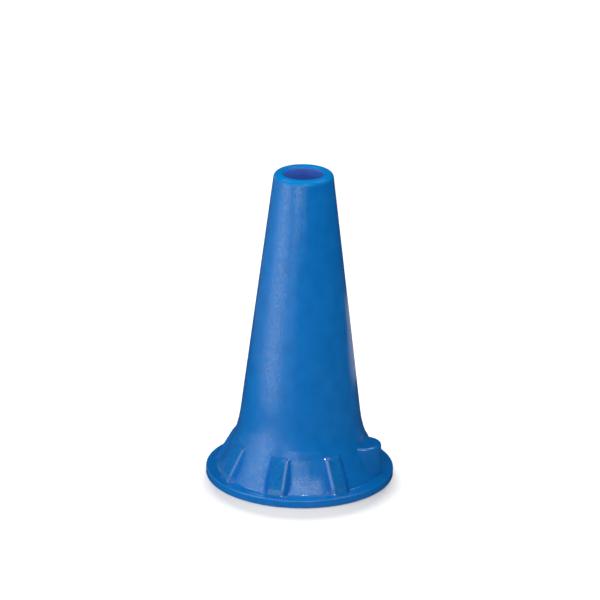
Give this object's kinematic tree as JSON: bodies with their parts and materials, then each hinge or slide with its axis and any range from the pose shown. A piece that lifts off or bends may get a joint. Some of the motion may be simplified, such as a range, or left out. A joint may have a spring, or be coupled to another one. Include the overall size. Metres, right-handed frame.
{
  "type": "ear speculum",
  "caption": "Conical plastic ear speculum with a rounded tip bore, a flared ribbed base, a locating lug and a thin round flange.",
  "frame": {"origin": "centre of the flange's underside, on the funnel's axis", "axes": "+Z along the funnel's axis towards the tip, +X through the middle of the large lug"},
  "size_m": [0.0194, 0.0194, 0.0328],
  "materials": {
    "blue_plastic": "fine satin moulded polypropylene"
  },
  "bodies": {
    "root": {"speculum_body": "blue_plastic"}
  },
  "joints": []
}
